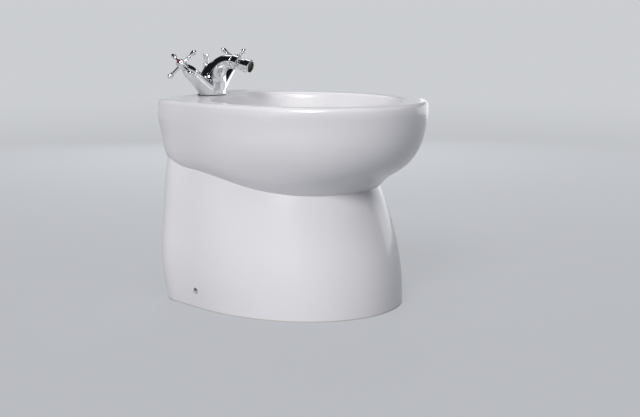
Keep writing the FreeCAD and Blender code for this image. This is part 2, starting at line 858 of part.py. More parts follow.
def spout_collar():
    body = lathed([(collar_thread_radius, -collar_back), (collar_radius - small_edge, -collar_back),
                   (collar_radius, -collar_back + small_edge), (collar_radius, collar_front - small_edge),
                   (collar_radius - small_edge, collar_front), (0, collar_front), (0, -ball_offset),
                   (collar_thread_radius, -ball_offset)])
    body = body.cut(Part.makeSphere(ball_radius + ball_gap, V()))
    return on_axis(body, ball_centre(), nozzle_direction())


def swivel_ball():
    ball = Part.makeSphere(ball_radius, V())
    bore = upright(ball_bore_radius, 0, 0, -2 * ball_radius, 2 * ball_radius)
    return on_axis(ball.cut(bore), ball_centre(), nozzle_direction())


def nozzle_housing():
    neck, ring, mouth = nozzle_neck_radius, nozzle_ring_radius, nozzle_mouth_radius
    chamber = nozzle_length - nozzle_bore_depth
    lip, groove, step = small_edge, nozzle_groove, nozzle_step
    body = lathed([(ball_bore_radius, ball_radius / 2), (neck, ball_radius / 2), (neck, nozzle_shoulder),
                   (ring - lip, nozzle_shoulder), (ring, nozzle_shoulder + lip), (ring, step - groove),
                   (ring - groove, step - groove), (ring - groove, step),
                   (mouth - lip / 2, step), (mouth, step + lip / 2), (mouth, nozzle_length - lip),
                   (mouth - lip, nozzle_length), (nozzle_bore_radius, nozzle_length),
                   (nozzle_bore_radius, chamber), (ball_bore_radius, chamber)])
    body = body.cut(Part.makeSphere(ball_radius + ball_gap, V()))
    return on_axis(body, ball_centre(), nozzle_direction())


def aerator_insert():
    outer = nozzle_bore_radius - thread_gap
    start = nozzle_length - nozzle_bore_depth + aerator_washer
    plate_top = start + aerator_height
    inner = outer - aerator_rim
    ring = lathed([(inner, start), (outer, start), (outer, plate_top), (inner, plate_top)])
    plate = upright(outer - aerator_rim / 2, 0, 0, plate_top - aerator_plate, plate_top)
    holes = []
    for circle in (1, 2):
        for step in range(6 * circle):
            turn = math.radians(step * full_turn / (6 * circle))
            x = circle * aerator_ring_pitch * math.cos(turn)
            y = circle * aerator_ring_pitch * math.sin(turn)
            holes.append(upright(aerator_hole_radius, x, y, start, plate_top + overrun))
    holes.append(upright(aerator_hole_radius, 0, 0, start, plate_top + overrun))
    insert = ring.fuse(plate).cut(Part.makeCompound(holes))
    return on_axis(insert, ball_centre(), nozzle_direction())


def aerator_washer_ring():
    outer = nozzle_bore_radius - thread_gap
    start = nozzle_length - nozzle_bore_depth
    ring = lathed([(outer - 2 * aerator_rim, start), (outer, start), (outer, start + aerator_washer),
                   (outer - 2 * aerator_rim, start + aerator_washer)])
    return on_axis(ring, ball_centre(), nozzle_direction())


def knob_bottom():
    return tap_foot + rod_boss_height + rest_gap


def lift_knob():
    base, top, height = knob_base_radius, knob_top_radius, knob_height
    shoulder = height - knob_dome
    knob = turned([(0, 0), (base, 0)],
                  [(base, 0), (base * knob_waist_share, height / 3), (top, shoulder)],
                  cap_run(top, shoulder, knob_dome))
    knob = knob.cut(upright(lift_rod_radius + thread_gap, 0, 0, -overrun, knob_seat + thread_gap))
    return knob.translated(V(0, lift_rod_y, knob_bottom()))


def lift_rod():
    bottom = clamp_height - clamp_length
    return upright(lift_rod_radius, 0, lift_rod_y, bottom, knob_bottom() + knob_seat)


def rod_clamp():
    half = clamp_width / 2
    body = block(-half, half, lift_rod_y - clamp_thickness / 2, lift_rod_y + clamp_thickness / 2,
                 clamp_height - clamp_length / 2, clamp_height + clamp_length / 2)
    corners = [edge for edge in body.Edges if edge.BoundBox.ZLength > clamp_length / 2]
    body = body.makeFillet(clamp_thickness / 5, corners)
    low, high = clamp_height - clamp_length, clamp_height + clamp_length
    bore = upright(lift_rod_radius + thread_gap, 0, lift_rod_y, low, high)
    middle = V(0, lift_rod_y, clamp_height)
    screw = cylinder(clamp_screw_radius + thread_gap, middle, Y_AXIS, clamp_thickness)
    return body.cut(bore).cut(screw)


# Flat strap with a row of adjusting holes, one of them on the pivot rod
def lift_strap():
    half = strap_width / 2
    top = clamp_height + strap_end
    low = strap_y - strap_thickness / 2
    rod_level = pivot_height - lift_travel / 2
    strap = block(-half, half, low, low + strap_thickness, rod_level - strap_end, top)
    ends = [edge for edge in strap.Edges if edge.BoundBox.YLength > strap_thickness / 2]
    strap = strap.makeFillet(half * 0.9, ends)
    screw_start = V(0, low - overrun, clamp_height)
    strap = strap.cut(cylinder(clamp_screw_radius + thread_gap, screw_start, Y_AXIS, strap_width))
    for step in range(strap_hole_count):
        level = rod_level + step * strap_hole_pitch
        if level < clamp_height - clamp_length:
            hole = cylinder(strap_hole_radius, V(0, low - overrun, level), Y_AXIS, strap_width)
            strap = strap.cut(hole)
    return strap


def clamp_screw():
    back = strap_y + strap_thickness / 2
    shank_end = lift_rod_y + lift_rod_radius + thread_gap
    shank = cylinder(clamp_screw_radius, V(0, back, clamp_height), -Y_AXIS, back - shank_end)
    head = cylinder(clamp_screw_head_radius, V(0, back, clamp_height), Y_AXIS, clamp_screw_head)
    flutes = []
    for step in range(8):
        turn = math.radians(step * full_turn / 8)
        x = clamp_screw_head_radius * math.cos(turn)
        z = clamp_height + clamp_screw_head_radius * math.sin(turn)
        flutes.append(cylinder(clamp_screw_head_radius / 6, V(x, back - overrun, z), Y_AXIS,
                               clamp_screw_head + 2 * overrun))
    return shank.fuse(head.cut(Part.makeCompound(flutes)))


# A sprung clip that straddles the strap on the pivot rod
def spring_clip():
    half = clip_width / 2
    level = pivot_height - lift_travel / 2
    front = strap_y - clip_gap - clip_sheet
    back = strap_y + clip_gap + clip_sheet
    top = level + half
    outer = block(-half, half, front, back, level - clip_drop, top)
    inner = block(-half - overrun, half + overrun, front + clip_sheet, back - clip_sheet,
                  level - clip_drop + clip_sheet, top + overrun)
    hole = cylinder(strap_hole_radius + rest_gap, V(0, front - overrun, level), Y_AXIS, clip_drop * 2)
    return outer.cut(inner).cut(hole)


# Direction of the pivot rod at rest, outer end down
def pivot_direction():
    drop = math.radians(lever_angle)
    return V(0, math.cos(drop), -math.sin(drop))


def pivot_rod():
    inner = pivot_arm + pivot_rod_inner_end
    start = V(0, pivot_y, pivot_height) - pivot_direction() * inner
    return cylinder(pivot_rod_radius, start, pivot_direction(), inner + lever_reach + pivot_rod_outer_end)


def pivot_ball():
    ball = Part.makeSphere(pivot_ball_radius, V())
    bore = upright(pivot_rod_radius + thread_gap, 0, 0, -2 * pivot_ball_radius, 2 * pivot_ball_radius)
    return on_axis(ball.cut(bore), V(0, pivot_y, pivot_height), pivot_direction())


def port_start():
    return V(0, waste_y, pivot_height)


def pivot_seal_start():
    ball_behind = math.sqrt(pivot_ball_radius ** 2 - pivot_seal_inner_radius ** 2)
    return pivot_arm - ball_behind - rest_gap - pivot_seal


def pivot_seal_ring():
    inner = pivot_seal_inner_radius
    outer = pivot_ball_radius + port_bore_gap - thread_gap
    start = pivot_seal_start()
    ring = lathed([(inner, start), (outer, start), (outer, start + pivot_seal), (inner, start + pivot_seal)])
    return on_axis(ring, port_start(), Y_AXIS)


def pivot_nut():
    end = pivot_arm + pivot_ball_radius + rest_gap
    swing = (pivot_ball_radius + pivot_nut_wall) * math.tan(math.radians(lever_angle))
    hole = pivot_rod_radius + swing + 2 * rest_gap
    nut = hexagon(pivot_nut_flats, end - pivot_nut_cover, end + pivot_nut_wall)
    thread = upright(port_radius + thread_gap, 0, 0, end - pivot_nut_cover - overrun, port_length + rest_gap)
    seat = upright(pivot_ball_radius + rest_gap, 0, 0, 0, end)
    opening = upright(hole, 0, 0, 0, end + pivot_nut_wall + overrun)
    return on_axis(nut.cut(thread).cut(seat).cut(opening), port_start(), Y_AXIS)


# Flange, cone seat and threaded tube with overflow slots, in one chromed piece
def waste_flange():
    top = flange_seat + flange_edge
    bottom = basin_floor_height - waste_tube_length
    seat_low = top - seat_depth
    edge = flange_edge * 0.45
    body = lathed([(seat_top_radius, top), (flange_radius - edge, top - edge / 3),
                   (flange_radius, top - edge * 1.6), (flange_radius, flange_seat),
                   (waste_thread_radius, flange_seat), (waste_thread_radius, bottom),
                   (waste_bore_radius, bottom), (waste_bore_radius, seat_low)])
    slot_level = waste_boss_bottom + overflow_radius + overflow_wall
    half = waste_slot_width / 2
    slot = block(-half, half, -flange_radius, flange_radius, slot_level - waste_slot_height / 2,
                 slot_level + waste_slot_height / 2)
    return on_waste(body.cut(slot))


def waste_ring(inner, outer, bottom, top):
    ring = lathed([(inner, bottom), (outer, bottom), (outer, top), (inner, top)])
    return on_waste(ring)


def waste_washer():
    top = waste_boss_bottom
    bottom = top - waste_washer_height
    inner = waste_thread_radius + thread_gap
    narrow = waste_washer_radius - waste_washer_height / 2
    outer, shoulder = waste_washer_radius, top - waste_washer_height / 2
    ring = lathed([(inner, bottom), (outer, bottom), (outer, shoulder), (narrow, top), (inner, top)])
    return on_waste(ring)


def waste_locknut():
    top = waste_boss_bottom - waste_washer_height
    nut = hexagon(locknut_flats, top - locknut_height, top)
    return on_waste(nut.cut(upright(waste_thread_radius + thread_gap, 0, 0, top - locknut_height - overrun,
                                    top + overrun)))


# Outlet below the flange tube, with the side port for the pivot ball and the tail pipe
def waste_outlet():
    tube_end = basin_floor_height - waste_tube_length
    top = waste_boss_bottom - waste_washer_height - locknut_height
    socket = waste_thread_radius + thread_gap
    outer = socket + outlet_wall
    body = lathed([(socket, top), (outer, top), (outer, tube_end - outlet_wall),
                   (outer - outlet_wall, outlet_body_end),
                   (tail_pipe_radius, outlet_body_end - outlet_wall), (tail_pipe_radius, tail_pipe_end),
                   (tail_pipe_radius - tail_pipe_wall, tail_pipe_end),
                   (tail_pipe_radius - tail_pipe_wall, outlet_body_end - outlet_wall),
                   (waste_bore_radius, outlet_body_end), (waste_bore_radius, tube_end - rest_gap),
                   (socket, tube_end - rest_gap)])
    port = cylinder(port_radius, V(0, waste_bore_radius + overrun, pivot_height), Y_AXIS,
                    port_length - waste_bore_radius - overrun)
    neck = cylinder(port_neck_radius, V(0, 0, pivot_height), Y_AXIS, port_length)
    seat = V(0, pivot_seal_start(), pivot_height)
    bore = cylinder(pivot_ball_radius + port_bore_gap, seat, Y_AXIS, port_length)
    return on_waste(body.fuse(port).cut(neck).cut(bore))


# The plug stands open at rest, raised by its travel
def waste_plug():
    top = flange_seat + flange_edge
    lift = top + plug_travel
    eye = pivot_height + pivot_arm * math.tan(math.radians(lever_angle))
    groove = plug_groove_radius
    seal = lift - plug_seal_drop
    disc = turned([(0, seal - plug_seal_radius * 1.6), (groove, seal - plug_seal_radius * 1.6)],
                  [(groove, seal - plug_seal_radius * 1.6), (groove, lift - plug_lift_gap)],
                  [(groove, lift - plug_lift_gap), (plug_radius, lift)],
                  [(plug_radius, lift), (plug_radius, lift + plug_edge)],
                  cap_run(plug_radius, lift + plug_edge, plug_dome))
    disc = disc.cut(Part.makeTorus(groove, plug_seal_radius, V(0, 0, seal)))
    fin_top = seal - plug_seal_radius
    fin_reach = waste_bore_radius - 3 * rest_gap
    plug = disc.fuse(upright(plug_stem_radius, 0, 0, eye, fin_top))
    for x, y in ((fin_reach, plug_fin / 2), (plug_fin / 2, fin_reach)):
        plug = plug.fuse(block(-x, x, -y, y, fin_top - plug_fin_length, fin_top))
    ring = cylinder(plug_eye_radius, V(0, -plug_eye_width / 2, eye), Y_AXIS, plug_eye_width)
    hole = cylinder(strap_hole_radius, V(0, -plug_eye_width, eye), Y_AXIS, plug_eye_width * 2)
    return on_waste(plug.fuse(ring).cut(hole))


def plug_seal():
    seal = flange_seat + flange_edge + plug_travel - plug_seal_drop
    return on_waste(Part.makeTorus(plug_groove_radius, plug_seal_radius - thread_gap, V(0, 0, seal)))


def build():
    os.makedirs("parts", exist_ok=True)
    seal_top = rim_height - deck
    rubber_low = seal_top - backing_rubber
    plate_low = rubber_low - backing_plate
    pieces = {
        "china_body": china_body(),
        "left_floor_bracket": floor_bracket(-1),
        "right_floor_bracket": floor_bracket(1),
        "side_fixing_screws": Part.makeCompound([side_screw(-1), side_screw(1)]),
        "side_screw_washers": Part.makeCompound([side_washer_ring(-1), side_washer_ring(1)]),
        "tap_body": tap_body(),
        "tap_base_seal": tap_base_seal(),
        "tap_fixing_stud": tap_fixing_stud(),
        "tap_backing_rubber": horseshoe(rubber_low, seal_top),
        "tap_backing_plate": horseshoe(plate_low, rubber_low),
        "tap_fixing_nut": tap_fixing_nut(),
        "spout_collar": spout_collar(),
        "ball_seal": ball_seal(),
        "swivel_ball": swivel_ball(),
        "nozzle_housing": nozzle_housing(),
        "aerator_insert": aerator_insert(),
        "aerator_washer": aerator_washer_ring(),
        "lift_knob": lift_knob(),
        "lift_rod": lift_rod(),
        "rod_clamp": rod_clamp(),
        "clamp_screw": clamp_screw(),
        "lift_strap": lift_strap(),
        "spring_clip": spring_clip(),
        "pivot_rod": pivot_rod(),
        "pivot_ball": pivot_ball(),
        "pivot_seal": pivot_seal_ring(),
        "pivot_nut": pivot_nut(),
        "waste_flange": waste_flange(),
        "flange_gasket": waste_ring(waste_thread_radius + thread_gap, flange_radius - small_edge,
                                    basin_floor_height, flange_seat),
        "waste_washer": waste_washer(),
        "waste_locknut": waste_locknut(),
        "waste_outlet": waste_outlet(),
        "waste_plug": waste_plug(),
        "plug_seal": plug_seal(),
    }
    for name, side in (("hot", -1), ("cold", 1)):
        pieces[name + "_supply_tail"] = supply_tail(side)
        pieces[name + "_cartridge"] = cartridge(side)
        pieces[name + "_bonnet"] = bonnet(side)
        pieces[name + "_spindle"] = spindle(side)
        pieces[name + "_cross_handle"] = cross_handle(side)
        pieces[name + "_handle_screw"] = handle_screw(side)
        pieces[name + "_index_cap"] = index_cap(side)
    for node, shape in pieces.items():
        save(shape, node)
        print(node, "valid" if shape.isValid() else "NOT VALID", len(shape.Solids), round(shape.Volume))
    print("lever angle", round(lever_angle, 4), "plug travel", round(plug_travel, 4))
    print("valve directions", valve_direction(-1), valve_direction(1), "origin", valve_origin())
    print("ball centre", ball_centre(), "nozzle direction", nozzle_direction())


build()
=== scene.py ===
import json
import math
import bmesh
import bpy
import numpy as np
from mathutils import Matrix, Vector


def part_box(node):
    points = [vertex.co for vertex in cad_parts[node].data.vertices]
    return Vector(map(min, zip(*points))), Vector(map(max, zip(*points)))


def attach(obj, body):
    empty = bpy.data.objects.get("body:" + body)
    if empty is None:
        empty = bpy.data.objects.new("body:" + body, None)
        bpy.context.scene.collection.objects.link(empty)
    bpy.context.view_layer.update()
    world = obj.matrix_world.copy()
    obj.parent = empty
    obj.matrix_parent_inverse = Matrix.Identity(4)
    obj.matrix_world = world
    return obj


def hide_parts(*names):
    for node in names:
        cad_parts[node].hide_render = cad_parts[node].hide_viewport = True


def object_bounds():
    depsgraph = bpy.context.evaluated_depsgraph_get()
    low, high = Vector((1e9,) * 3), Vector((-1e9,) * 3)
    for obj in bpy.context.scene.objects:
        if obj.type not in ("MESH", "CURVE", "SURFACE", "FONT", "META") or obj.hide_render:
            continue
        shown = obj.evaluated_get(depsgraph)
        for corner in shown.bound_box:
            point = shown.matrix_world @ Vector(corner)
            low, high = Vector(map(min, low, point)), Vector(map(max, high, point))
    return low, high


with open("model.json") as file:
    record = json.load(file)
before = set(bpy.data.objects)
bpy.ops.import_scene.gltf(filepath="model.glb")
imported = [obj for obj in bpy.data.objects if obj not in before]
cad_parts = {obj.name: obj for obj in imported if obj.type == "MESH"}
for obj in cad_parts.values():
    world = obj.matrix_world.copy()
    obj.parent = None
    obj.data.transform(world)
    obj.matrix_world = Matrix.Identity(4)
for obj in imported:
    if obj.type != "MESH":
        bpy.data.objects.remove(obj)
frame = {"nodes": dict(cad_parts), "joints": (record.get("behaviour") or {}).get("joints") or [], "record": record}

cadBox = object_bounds()
cadNodes = frame["nodes"]
joints = {joint["name"]: joint for joint in frame["joints"]}
mm = 0.001


# A socket that can be written in sums: each sum adds its own Math node
class Wire:
    def __init__(self, sheet, socket):
        self.sheet = sheet
        self.socket = socket

    def sum(self, operation, first, second):
        return self.sheet.node("ShaderNodeMath", {"operation": operation}, {0: first, 1: second})

    def __add__(self, other):
        return self.sum("ADD", self, other)

    def __radd__(self, other):
        return self.sum("ADD", other, self)

    def __sub__(self, other):
        return self.sum("SUBTRACT", self, other)

    def __rsub__(self, other):
        return self.sum("SUBTRACT", other, self)

    def __mul__(self, other):
        return self.sum("MULTIPLY", self, other)

    def __rmul__(self, other):
        return self.sum("MULTIPLY", other, self)


# A node tree with one way to add any node: settings first, then its sockets
class Sheet:
    def __init__(self, tree):
        self.tree = tree

    def node(self, kind, settings=None, sockets=None, output=0):
        made = self.tree.nodes.new(kind)
        for key, value in (settings or {}).items():
            setattr(made, key, value)
        for key, value in (sockets or {}).items():
            self.feed(made.inputs[key], value)
        return Wire(self, made.outputs[output])

    def feed(self, socket, value):
        if isinstance(value, Wire):
            self.tree.links.new(value.socket, socket)
        elif socket.type == "RGBA" and len(value) == 3:
            socket.default_value = (*value, 1.0)
        else:
            socket.default_value = value

    def objectPlace(self):
        return self.node("ShaderNodeTexCoord", output="Object")

    def noise(self, place, scale, detail=2.0, roughness=0.5):
        return self.node("ShaderNodeTexNoise", {},
                         {"Vector": place, "Scale": scale, "Detail": detail, "Roughness": roughness})

    # 0 below low, 1 above high, with a soft step between
    def step(self, value, low, high):
        return self.node("ShaderNodeMapRange", {"interpolation_type": "SMOOTHSTEP"},
                         {"Value": value, "From Min": low, "From Max": high})

    # The Mix node's sockets 6 and 7 are its two colours
    def mixColour(self, share, first, second):
        return self.node("ShaderNodeMix", {"data_type": "RGBA"},
                         {0: share, 6: first, 7: second}, output=2)

    def bump(self, height, strength, depth, normal=None):
        sockets = {"Height": height, "Strength": strength, "Distance": depth}
        if normal:
            sockets["Normal"] = normal
        return self.node("ShaderNodeBump", {}, sockets)


# A material: fixed values go on the shader's own sockets, varying ones come in as links
class Finish(Sheet):
    def __init__(self, name, **fixed):
        self.material = bpy.data.materials.new(name)
        self.material.use_nodes = True
        super().__init__(self.material.node_tree)
        self.shader = self.tree.nodes["Principled BSDF"]
        self.set(**{key.replace("_", " "): value for key, value in fixed.items()})

    def set(self, **values):
        for key, value in values.items():
            self.feed(self.shader.inputs[key], value)

    def wear(self, colour=None, roughness=None, normal=None, coat=None):
        wired = {"Base Color": colour, "Roughness": roughness, "Normal": normal, "Coat Weight": coat}
        self.set(**{key: value for key, value in wired.items() if value is not None})
        return self.material


glaze = {
    "white": (0.836, 0.826, 0.836),
    "cloud": (0.802, 0.794, 0.810),       # the faint clouding of a thick glaze
    "bisque": (0.640, 0.610, 0.555),      # bare fired clay on the foot
    "footBand": (1.2 * mm, 3.0 * mm),     # the glaze ends between these heights
    "gritScale": 840.0,
    "gritShade": 0.82,
    "cloudScale": 5.0,
    "cloudSpan": (0.35, 0.75),
    "flowScale": 16.0,
    "flowStrength": 0.05,
    "flowDepth": 0.9 * mm,
    "peelScale": 140.0,
    "peelStrength": 0.10,
    "peelDepth": 0.05 * mm,
    "bareRoughness": 0.62,
    "glazedRoughness": 0.28,
    "cloudRoughness": 0.04,
    "coat": 0.5,
}


def glazedChina():
    finish = Finish("glazed_china", IOR=1.52, Coat_Roughness=0.08, Coat_IOR=1.55)
    place = finish.objectPlace()
    height = finish.node("ShaderNodeSeparateXYZ", {}, {0: place}, output="Z")
    glazed = finish.step(height, *glaze["footBand"])
    cloud = finish.step(finish.noise(place, glaze["cloudScale"], 3.0), *glaze["cloudSpan"])
    body = finish.mixColour(cloud, glaze["white"], glaze["cloud"])
    grit = finish.noise(place, glaze["gritScale"], 4.0, 0.7)
    darker = tuple(glaze["gritShade"] * part for part in glaze["bisque"])
    foot = finish.mixColour(grit, glaze["bisque"], darker)
    flow = finish.noise(place, glaze["flowScale"], 1.0, 0.4)
    peel = finish.noise(place, glaze["peelScale"], 2.0)
    soft = finish.bump(flow, glaze["flowStrength"], glaze["flowDepth"])
    fine = finish.bump(peel, glaze["peelStrength"], glaze["peelDepth"], soft)
    smoother = glaze["bareRoughness"] - glaze["glazedRoughness"]
    rough = glaze["bareRoughness"] - smoother * glazed + glaze["cloudRoughness"] * cloud
    return finish.wear(colour=finish.mixColour(glazed, foot, body), roughness=rough, normal=fine,
                       coat=glaze["coat"] * glazed)


chrome = {
    "bright": (0.800, 0.808, 0.820),
    "breath": (0.730, 0.735, 0.742),      # the dull film that fingers and water leave
    "filmScale": 38.0,
    "filmSpan": (0.52, 0.72),
    "filmShare": 0.6,
    "dropScale": 420.0,
    "dropSpan": (0.10, 0.16),
    "hairScale": 900.0,
    "hairStrength": 0.03,
    "hairDepth": 0.02 * mm,
    "polishRoughness": 0.045,
    "filmRoughness": 0.05,
    "dropRoughness": 0.03,
}


def polishedChrome():
    finish = Finish("polished_chrome", Metallic=1.0)
    place = finish.objectPlace()
    film = finish.step(finish.noise(place, chrome["filmScale"], 4.0, 0.6), *chrome["filmSpan"])
    cells = finish.node("ShaderNodeTexVoronoi", {"feature": "F1"},
                        {"Vector": place, "Scale": chrome["dropScale"]})
    drop = finish.step(cells, *chrome["dropSpan"])
    hair = finish.noise(place, chrome["hairScale"], 2.0)
    colour = finish.mixColour(film * chrome["filmShare"], chrome["bright"], chrome["breath"])
    dried = chrome["dropRoughness"] * (1 - drop) * film
    rough = chrome["polishRoughness"] + chrome["filmRoughness"] * film + dried
    return finish.wear(colour=colour, roughness=rough,
                       normal=finish.bump(hair, chrome["hairStrength"], chrome["hairDepth"]))


brass = {
    "bare": (0.700, 0.540, 0.280),
    "tarnish": (0.430, 0.300, 0.150),
    "tarnishScale": 70.0,
    "tarnishSpan": (0.42, 0.70),
    "toolScale": 2600.0,                  # the turning tool's rings
    "toolWobble": 0.6,
    "toolStrength": 0.10,
    "toolDepth": 0.03 * mm,
    "bareRoughness": 0.24,
    "tarnishRoughness": 0.22,
}


def turnedBrass():
    finish = Finish("turned_brass", Metallic=1.0)
    place = finish.objectPlace()
    dull = finish.step(finish.noise(place, brass["tarnishScale"], 5.0, 0.6), *brass["tarnishSpan"])
    tool = finish.node("ShaderNodeTexWave", {"wave_type": "BANDS", "bands_direction": "Z"},
                       {"Vector": place, "Scale": brass["toolScale"], "Distortion": brass["toolWobble"]},
                       output=1)
    return finish.wear(colour=finish.mixColour(dull, brass["bare"], brass["tarnish"]),
                       roughness=brass["bareRoughness"] + brass["tarnishRoughness"] * dull,
                       normal=finish.bump(tool, brass["toolStrength"], brass["toolDepth"]))


zinc = {
    "bright": (0.610, 0.620, 0.630),
    "spangle": (0.450, 0.465, 0.480),
    "spangleScale": 210.0,
    "grainScale": 1800.0,
    "grainStrength": 0.12,
    "grainDepth": 0.03 * mm,
    "brightRoughness": 0.30,
    "spangleRoughness": 0.16,
}


def zincSteel():
    finish = Finish("zinc_plated_steel", Metallic=1.0)
    place = finish.objectPlace()
    spangle = finish.node("ShaderNodeTexVoronoi", {"feature": "F1"},
                          {"Vector": place, "Scale": zinc["spangleScale"]}, output="Color")
    tone = finish.node("ShaderNodeSeparateColor", {}, {0: spangle})
    grain = finish.noise(place, zinc["grainScale"], 3.0)
    return finish.wear(colour=finish.mixColour(tone, zinc["bright"], zinc["spangle"]),
                       roughness=zinc["brightRoughness"] + zinc["spangleRoughness"] * tone,
                       normal=finish.bump(grain, zinc["grainStrength"], zinc["grainDepth"]))


rubber = {
    "black": (0.022, 0.022, 0.024),
    "bloom": (0.060, 0.060, 0.062),       # the grey bloom on rubber that has stood
    "bloomScale": 60.0,
    "bloomSpan": (0.40, 0.70),
    "grainScale": 1500.0,
    "grainStrength": 0.25,
    "grainDepth": 0.04 * mm,
    "blackRoughness": 0.55,
    "bloomRoughness": 0.2,
}


def mouldedRubber():
    finish = Finish("moulded_rubber", IOR=1.5)
    place = finish.objectPlace()
    bloom = finish.step(finish.noise(place, rubber["bloomScale"], 4.0), *rubber["bloomSpan"])
    grain = finish.noise(place, rubber["grainScale"], 3.0)
    return finish.wear(colour=finish.mixColour(bloom, rubber["black"], rubber["bloom"]),
                       roughness=rubber["blackRoughness"] + rubber["bloomRoughness"] * bloom,
                       normal=finish.bump(grain, rubber["grainStrength"], rubber["grainDepth"]))


plastic = {
    "white": (0.790, 0.790, 0.765),
    "shade": (0.730, 0.725, 0.690),
    "shadeScale": 45.0,
    "shadeSpan": (0.38, 0.72),
    "grainScale": 2200.0,
    "grainStrength": 0.15,
    "grainDepth": 0.03 * mm,
    "smoothRoughness": 0.38,
    "grainRoughness": 0.10,
}


def mouldedPlastic():
    finish = Finish("moulded_plastic", IOR=1.46)
    place = finish.objectPlace()
    shade = finish.step(finish.noise(place, plastic["shadeScale"], 3.0), *plastic["shadeSpan"])
    grain = finish.noise(place, plastic["grainScale"], 2.0)
    return finish.wear(colour=finish.mixColour(shade, plastic["white"], plastic["shade"]),
                       roughness=plastic["smoothRoughness"] + plastic["grainRoughness"] * grain,
                       normal=finish.bump(grain, plastic["grainStrength"], plastic["grainDepth"]))


acetal = {
    "brown": (0.046, 0.040, 0.026),
    "lime": (0.120, 0.112, 0.090),        # lime scale in patches on the spray plate
    "limeScale": 500.0,
    "limeSpan": (0.50, 0.75),
    "limeStrength": 0.2,
    "limeDepth": 0.03 * mm,
    "cleanRoughness": 0.30,
    "limeRoughness": 0.3,
}


def brownAcetal():
    finish = Finish("brown_acetal", IOR=1.48)
    place = finish.objectPlace()
    lime = finish.step(finish.noise(place, acetal["limeScale"], 4.0, 0.6), *acetal["limeSpan"])
    return finish.wear(colour=finish.mixColour(lime, acetal["brown"], acetal["lime"]),
                       roughness=acetal["cleanRoughness"] + acetal["limeRoughness"] * lime,
                       normal=finish.bump(lime, acetal["limeStrength"], acetal["limeDepth"]))


enamel = {
    "hot": (0.330, 0.020, 0.022),
    "cold": (0.020, 0.090, 0.420),
    "deepShare": 0.65,                    # how dark the enamel is where it lies thick
    "poolScale": 380.0,
    "poolStrength": 0.10,
    "poolDepth": 0.05 * mm,
    "thinRoughness": 0.16,
    "poolRoughness": 0.1,
}


def enamelFor(name):
    finish = Finish(name + "_enamel", IOR=1.5, Coat_Weight=0.8, Coat_Roughness=0.04)
    place = finish.objectPlace()
    pool = finish.noise(place, enamel["poolScale"], 2.0)
    deep = tuple(enamel["deepShare"] * part for part in enamel[name])
    return finish.wear(colour=finish.mixColour(pool, enamel[name], deep),
                       roughness=enamel["thinRoughness"] + enamel["poolRoughness"] * pool,
                       normal=finish.bump(pool, enamel["poolStrength"], enamel["poolDepth"]))


finishes = {
    "china": glazedChina(),
    "chrome": polishedChrome(),
    "rubber": mouldedRubber(),
    "brass": turnedBrass(),
    "steel": zincSteel(),
    "plastic": mouldedPlastic(),
}
slotOf = {part["node"]: part["material_slot"] for part in frame["record"]["subparts"]}
ownFinish = {"aerator_insert": brownAcetal()}     # a finish that its slot doesn't give


def dressNodes():
    for name, piece in cadNodes.items():
        piece.data.materials.clear()
        piece.data.materials.append(ownFinish.get(name, finishes[slotOf[name]]))
    print("dressed", len(cadNodes), "pieces in", len(finishes), "finishes")


# A new object from a mesh, in a finish, riding on a body
def show(name, mesh, material, body):
    piece = bpy.data.objects.new(name, mesh)
    bpy.context.scene.collection.objects.link(piece)
    mesh.materials.clear()
    mesh.materials.append(material)
    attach(piece, body)
    return piece


# The mesh that an object has once its modifiers have run
def plainMesh(piece):
    evaluated = piece.evaluated_get(bpy.context.evaluated_depsgraph_get())
    return bpy.data.meshes.new_from_object(evaluated)


# One row of numbers for each point, edge or normal of a mesh
def rowsOf(source, key, width, kind=float):
    rows = np.empty(len(source) * width, dtype=kind)
    source.foreach_get(key, rows)
    return rows.reshape(-1, width)


# The CAD mesh is loose triangles, so a copy is joined up before it is reshaped
def mergedMesh(node, weld):
    work = bmesh.new()
    work.from_mesh(cadNodes[node].data)
    bmesh.ops.remove_doubles(work, verts=work.verts, dist=weld)
    mesh = bpy.data.meshes.new(node + "_merged")
    work.to_mesh(mesh)
    work.free()
    return mesh


casting = {
    "weld": 0.01 * mm,
    "voxel": 0.8 * mm,
    "polishRounds": 3,
    "polishShare": 0.4,
    "blendRounds": 90,       # more rounds give a wider blend in the creases
    "blendShare": 0.5,
    "footMargin": 1.0 * mm,
    "blendTop": 45.0 * mm,   # the creases stop this far above the foot
}


# Moves each point towards its neighbours' middle; filling only, it leaves the outer edges crisp
def smoothPoints(points, edges, share, rounds, free, fillNormals=None):
    first, second = edges[:, 0], edges[:, 1]
    count = np.bincount(edges.ravel(), minlength=len(points))[:, None]
    for turn in range(rounds):
        total = np.zeros_like(points)
        for axis in range(3):
            total[:, axis] = (np.bincount(first, points[second, axis], len(points))
                              + np.bincount(second, points[first, axis], len(points)))
        move = (total / count - points) * share
        if fillNormals is not None:
            outward = np.einsum("ij,ij->i", move, fillNormals)
            move *= (outward > 0)[:, None]
        points += move * free[:, None]
    return points


